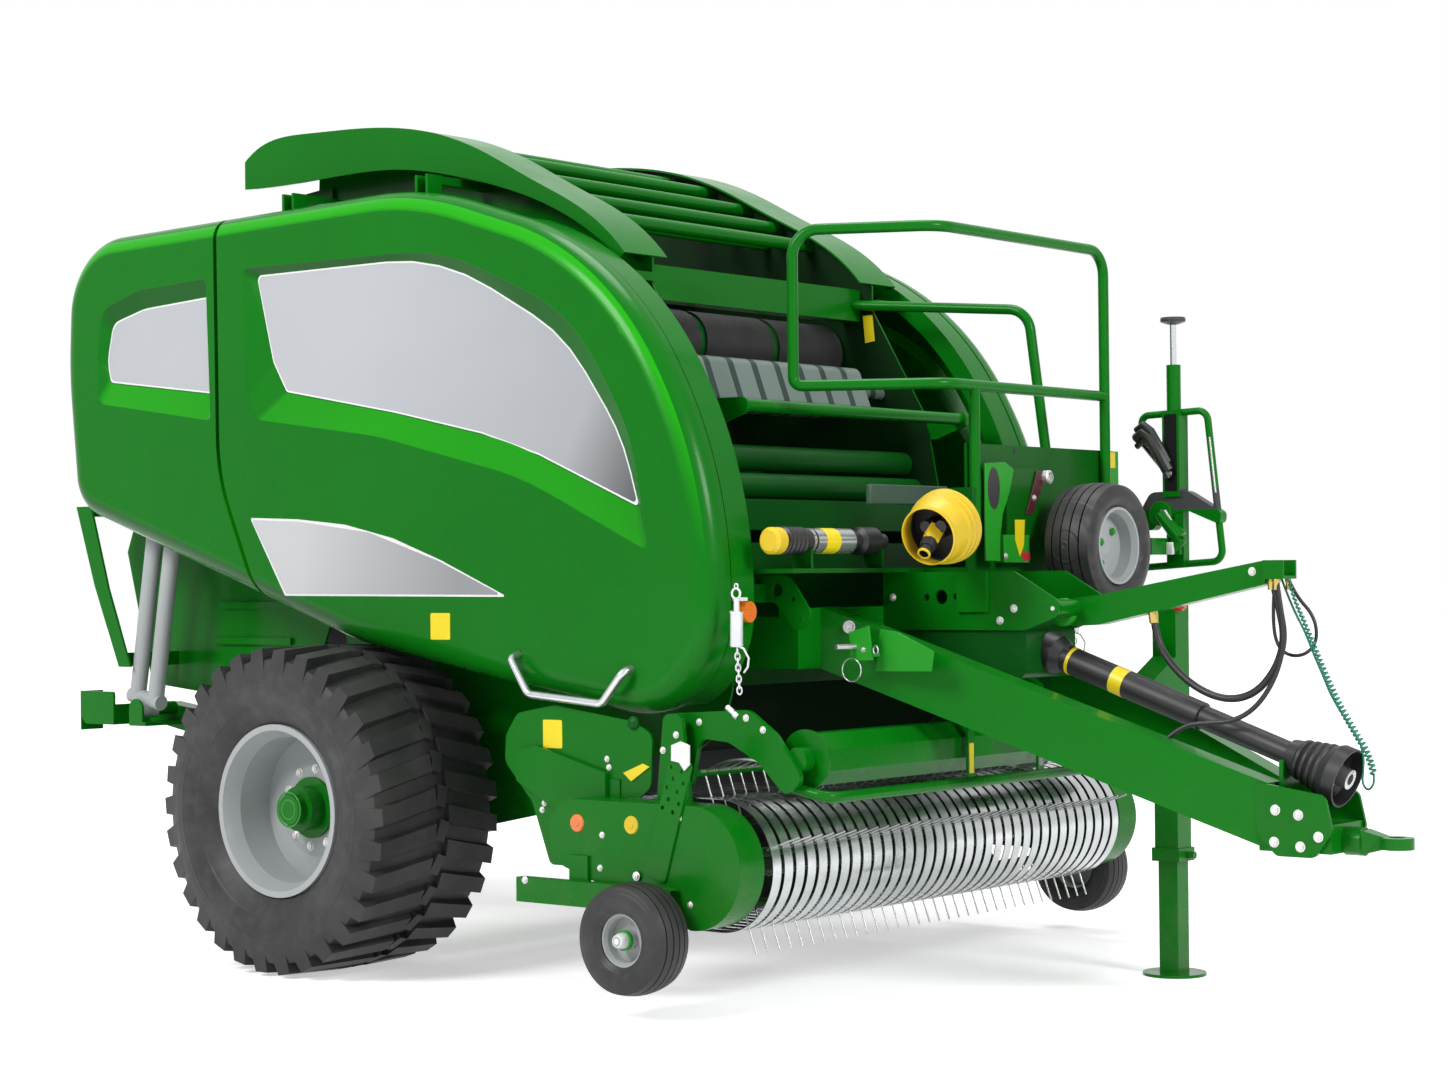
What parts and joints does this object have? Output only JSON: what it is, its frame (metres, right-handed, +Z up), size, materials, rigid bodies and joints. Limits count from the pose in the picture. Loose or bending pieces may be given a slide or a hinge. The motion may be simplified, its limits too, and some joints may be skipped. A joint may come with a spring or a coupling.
{
  "type": "round baler",
  "caption": "Towed round baler with lifting tailgate on rams, gull-wing side doors, wide pickup with spinning reel and gauge wheels, wind guard, drawbar, drive shaft and parking jack.",
  "frame": {"origin": "on the ground, under the middle of the machine's overall length and width", "axes": "+X forward to the hitch eye, +Y to the machine's left, +Z up"},
  "size_m": [5.312, 2.793, 3.059],
  "materials": {
    "bare_steel": "machined",
    "belt_rubber": "ribbed",
    "black_plastic": "moulded",
    "dark_green": "satin paint",
    "galvanised": "galvanised",
    "green_cord": "smooth",
    "green_paint": "gloss paint",
    "hose_rubber": "smooth",
    "orange_plastic": "translucent lens",
    "silver_paint": "satin paint",
    "tyre_rubber": "matt",
    "yellow_plastic": "moulded"
  },
  "bodies": {
    "chassis": {"adjuster_column": "green_paint", "axle_frame": "green_paint", "chassis_walls": "green_paint", "cross_shaft": "black_plastic", "drawbar": "green_paint", "fins": "green_paint", "front_bands": "green_paint", "front_belts": "belt_rubber", "front_panel": "dark_green", "front_rollers": "dark_green", "gearbox": "dark_green", "guard_cone": "yellow_plastic", "headstock": "green_paint", "hitch_eye": "green_paint", "hose_arm": "green_paint", "hose_loop": "hose_rubber", "hose_low": "hose_rubber", "hose_main": "hose_rubber", "jack_tube": "green_paint", "lamps": "orange_plastic", "net_box": "green_paint", "platform": "green_paint", "pto_shaft": "black_plastic", "pto_yoke": "bare_steel", "rails": "green_paint", "safety_coil": "green_cord", "safety_cord": "green_cord", "stowed_rim": "silver_paint", "stowed_tyre": "tyre_rubber", "top_frame": "green_paint"},
    "wheel_right": {"tyre_right": "tyre_rubber", "rim_right": "silver_paint", "hub_right": "green_paint"},
    "wheel_left": {"tyre_left": "tyre_rubber", "rim_left": "silver_paint", "hub_left": "green_paint"},
    "tailgate": {"tailgate_frame": "green_paint", "tailgate_belts": "belt_rubber", "tailgate_rollers": "dark_green", "tailgate_cover_right": "green_paint", "tailgate_cover_left": "green_paint"},
    "ram_barrel_right": {"ram_barrel_right": "silver_paint"},
    "ram_barrel_left": {"ram_barrel_left": "silver_paint"},
    "ram_rod_right": {"ram_rod_right": "bare_steel"},
    "ram_rod_left": {"ram_rod_left": "bare_steel"},
    "door_right": {"door_right": "green_paint", "door_handle_right": "galvanised"},
    "door_left": {"door_left": "green_paint", "door_handle_left": "galvanised"},
    "pickup": {"pickup_frame": "green_paint", "pickup_bands": "galvanised", "pickup_covers": "green_paint"},
    "reel": {"reel": "dark_green"},
    "gauge_wheel_right": {"gauge_tyre_right": "tyre_rubber", "gauge_rim_right": "silver_paint"},
    "gauge_wheel_left": {"gauge_tyre_left": "tyre_rubber", "gauge_rim_left": "silver_paint"},
    "wind_guard": {"wind_guard": "green_paint"},
    "crop_roller": {"crop_roller": "green_paint"},
    "jack_leg": {"jack_leg": "green_paint"}
  },
  "joints": [
    {"name": "wheel_right_spin", "type": "hinge", "parent": "chassis", "child": "wheel_right", "pos_m": [-0.956, -1.1, 0.575], "axis": [0, 1, 0], "continuous": true},
    {"name": "wheel_left_spin", "type": "hinge", "parent": "chassis", "child": "wheel_left", "pos_m": [-0.956, 1.1, 0.575], "axis": [0, 1, 0], "continuous": true},
    {"name": "tailgate_lift", "type": "hinge", "parent": "chassis", "child": "tailgate", "pos_m": [-1.556, 0, 2.81], "axis": [0, 1, 0], "range_deg": [0, 55]},
    {"name": "ram_right_swing", "type": "hinge", "parent": "chassis", "child": "ram_barrel_right", "pos_m": [-2.266, -0.865, 0.88], "axis": [0, -1, 0], "range_deg": [-2, 24]},
    {"name": "ram_right_extend", "type": "slide", "parent": "ram_barrel_right", "child": "ram_rod_right", "axis": [0.1738, 0, 0.9848], "range_m": [-0.002, 0.86]},
    {"name": "ram_left_swing", "type": "hinge", "parent": "chassis", "child": "ram_barrel_left", "pos_m": [-2.266, 0.865, 0.88], "axis": [0, -1, 0], "range_deg": [-2, 24]},
    {"name": "ram_left_extend", "type": "slide", "parent": "ram_barrel_left", "child": "ram_rod_left", "axis": [0.1738, 0, 0.9848], "range_m": [-0.002, 0.86]},
    {"name": "door_right_lift", "type": "hinge", "parent": "chassis", "child": "door_right", "pos_m": [-0.956, -0.905, 2.79], "axis": [-1, 0, 0], "range_deg": [0, 65]},
    {"name": "door_left_lift", "type": "hinge", "parent": "chassis", "child": "door_left", "pos_m": [-0.956, 0.905, 2.79], "axis": [1, 0, 0], "range_deg": [0, 65]},
    {"name": "pickup_lift", "type": "hinge", "parent": "chassis", "child": "pickup", "pos_m": [-0.006, 0, 0.76], "axis": [0, 1, 0], "range_deg": [0, 6]},
    {"name": "reel_spin", "type": "hinge", "parent": "pickup", "child": "reel", "pos_m": [0.789, 0, 0.46], "axis": [0, 1, 0], "continuous": true},
    {"name": "gauge_wheel_right_spin", "type": "hinge", "parent": "pickup", "child": "gauge_wheel_right", "pos_m": [0.664, -1.31, 0.25], "axis": [0, 1, 0], "continuous": true},
    {"name": "gauge_wheel_left_spin", "type": "hinge", "parent": "pickup", "child": "gauge_wheel_left", "pos_m": [0.664, 1.31, 0.25], "axis": [0, 1, 0], "continuous": true},
    {"name": "wind_guard_lift", "type": "hinge", "parent": "pickup", "child": "wind_guard", "pos_m": [0.614, 0, 0.9], "axis": [0, -1, 0], "range_deg": [0, 7]},
    {"name": "crop_roller_spin", "type": "hinge", "parent": "wind_guard", "child": "crop_roller", "pos_m": [1.059, 0, 0.8], "axis": [0, 1, 0], "continuous": true},
    {"name": "jack_slide", "type": "slide", "parent": "chassis", "child": "jack_leg", "axis": [0, 0, 1], "range_m": [0, 0.22]}
  ],
  "couplings": [
    {"joint": "ram_right_swing", "follows": "tailgate_lift", "ratio": 0.37177},
    {"joint": "ram_right_extend", "follows": "tailgate_lift", "m_per_rad": 0.8724},
    {"joint": "ram_left_swing", "follows": "tailgate_lift", "ratio": 0.37177},
    {"joint": "ram_left_extend", "follows": "tailgate_lift", "m_per_rad": 0.8724}
  ]
}
